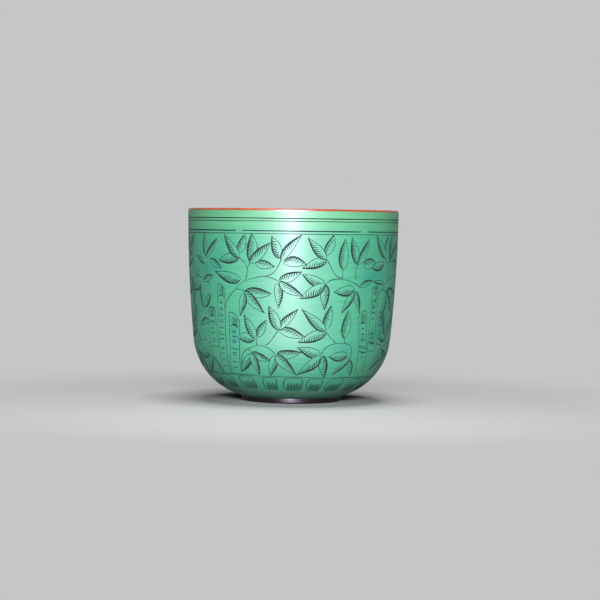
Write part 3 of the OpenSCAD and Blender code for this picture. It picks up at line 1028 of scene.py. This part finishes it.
def cut_depths():
    """The depth at each point of the chart, which is the deepest of the grooves over it, and the triangles
    that lie in a groove. A groove counts for a triangle only where it holds the triangle's middle."""
    corners = groove_points[groove_faces]
    corner_depths = groove_depths[groove_faces]
    edge_1, edge_2 = corners[:, 1] - corners[:, 0], corners[:, 2] - corners[:, 0]
    rise_1, rise_2 = corner_depths[:, 1] - corner_depths[:, 0], corner_depths[:, 2] - corner_depths[:, 0]
    slope = np.stack([
        rise_1 * edge_2[:, 1] - rise_2 * edge_1[:, 1],
        rise_2 * edge_1[:, 0] - rise_1 * edge_2[:, 0],
    ], axis=1) / cross(edge_1, edge_2)[:, None]
    face = np.repeat(np.arange(len(chart_faces)), [len(over) for over in covering])
    over = np.concatenate(covering)
    centre = chart[chart_faces].mean(axis=1)[face]
    held = np.ones(len(centre), bool)
    for k in range(3):
        start, end = corners[over, k], corners[over, (k + 1) % 3]
        held &= cross(end - start, centre - start) > -edge_slack
    face, over = face[held], over[held]
    point = chart_faces[face]
    from_corner = chart[point] - corners[over, 0][:, None]
    sunk = np.einsum("ijk,ik->ij", from_corner, slope[over]) + corner_depths[over, 0][:, None]
    depths = np.zeros(len(chart))
    np.maximum.at(depths, point.ravel(), sunk.ravel())
    return np.clip(depths, 0, cut_depth) * mm, face


def end_ring(on_ring):
    """The numbers of the chart's points on a ring, in order of their angle from the front."""
    angle = np.mod(turn, 2 * np.pi)
    order = np.argsort(angle)
    order = order[on_ring[order]]
    return np.roll(order, 1) if 2 * np.pi - angle[order[-1]] < turn_slack else order


groove_points, groove_depths, groove_faces = all_grooves()
chart, chart_faces, covering = cut_chart()
depth, cut_faces = cut_depths()

# The face of the coat stands at its chart place, sunk by the depth, and a plain face closes it behind.
reach, turn = np.hypot(*chart.T), np.arctan2(chart[:, 0], -chart[:, 1])
face_rows = (face_angle, face_r, face_z)
angle_there, radius_there, height_there = (np.interp(-reach, -chart_r, row) for row in face_rows)
normal = spun(np.cos(angle_there), turn, -np.sin(angle_there))
surface = spun(radius_there, turn, height_there) - normal * depth[:, None]
back_line = coat_line(topcoat_t, band_z, foot_r)[::back_stride]
back = spun(back_line[:, :1], ring_turn, back_line[:, 1:])
back_number = len(surface) + np.arange(back.size // 3).reshape(-1, turn_segments)
coat_points = np.concatenate([surface, back.reshape(-1, 3)])
coat_faces = np.concatenate([
    chart_faces[:, ::-1],
    turned_faces(end_ring(reach > chart_r[0] - ring_slack), back_number[0]),
    turned_faces(back_number[:-1], back_number[1:]),
    turned_faces(back_number[-1], end_ring(reach < chart_r[-1] + ring_slack)),
])


def green_lacquer():
    """Two greens in fine polishing marks, yellower near the lip, dull in a band above the foot ring, and
    blue green in the patches."""
    made, tree = blank_material("green_lacquer")
    fine = streaks(tree, 1500, 3.0, detail=3.0)
    broad = streaks(tree, 260, 1.6)
    speck = cloud(tree, 1500, detail=4.0)
    height = node(tree, "SeparateXYZ", node(tree, "TexCoord")["Object"])["Z"]
    teal = node(tree, "Attribute", attribute_name="teal")["Fac"]
    colour = blend(tree, stretch(tree, fine, 0.25, 0.75, 0.2, 0.8), green, green_light)
    colour = blend(tree, stretch(tree, height, *rim_tint, 0, 0.55), colour, green_rim)
    dull = combine(tree, "MULTIPLY", stretch(tree, height, *dull_to), stretch(tree, height, *dull_from))
    colour = blend(tree, combine(tree, "MULTIPLY", dull, 0.45), colour, green_dull)
    patch = combine(tree, "MULTIPLY", teal, stretch(tree, broad, 0.2, 0.6, 0.6, 1))
    colour = blend(tree, patch, colour, blue_green)
    colour = blend(tree, stretch(tree, speck, 0.55, 0.8, 0, 0.25), colour, green_light)
    rough = stretch(tree, fine, 0.3, 0.7, 0.58, 0.66)
    rough = combine(tree, "ADD", rough, combine(tree, "MULTIPLY", teal, 0.05))
    shade(tree, colour, rough, relief(tree, fine, 0.01 * mm), green_shine)
    return made


def lampblack():
    """The soot in the grooves, a little faded in places."""
    made, tree = blank_material("lampblack_in_lines")
    colour = blend(tree, stretch(tree, cloud(tree, 900), 0.4, 0.75), line_black, line_faded)
    shade(tree, colour, line_rough, more=line_shine)
    return made


green_mesh = solid(
    "green_coat", coat_points, coat_faces, [green_lacquer(), lampblack()],
    replaced="green_lacquer",
)
in_groove = np.zeros(len(coat_faces), np.int32)
in_groove[cut_faces] = 1
green_mesh.polygons.foreach_set("material_index", in_groove)

# The plain face takes the coat's true normal, and a groove's walls take their own.
corners = coat_points[coat_faces]
flat_normal = np.cross(corners[:, 1] - corners[:, 0], corners[:, 2] - corners[:, 0])
flat_normal /= np.maximum(np.linalg.norm(flat_normal, axis=1), 1e-12)[:, None]
corner_normal = np.repeat(flat_normal[:, None], 3, axis=1)
plain = np.flatnonzero(in_groove[:len(chart_faces)] == 0)
corner_normal[plain] = normal[coat_faces[plain]]
green_mesh.normals_split_custom_set(corner_normal.reshape(-1, 3).tolist())

x_there, z_there = turn * pattern_r, height_there / mm
patches = sum(
    strength * np.exp(-((x_there - x) / half_w) ** 2 - ((z_there - z) / half_h) ** 2)
    for x, z, half_w, half_h, strength in teal_patches
)
teal = np.concatenate([np.clip(patches, 0, 1), np.zeros(back_number.size)]).astype(np.float32)
green_mesh.attributes.new("teal", "FLOAT", "POINT").data.foreach_set("value", teal)
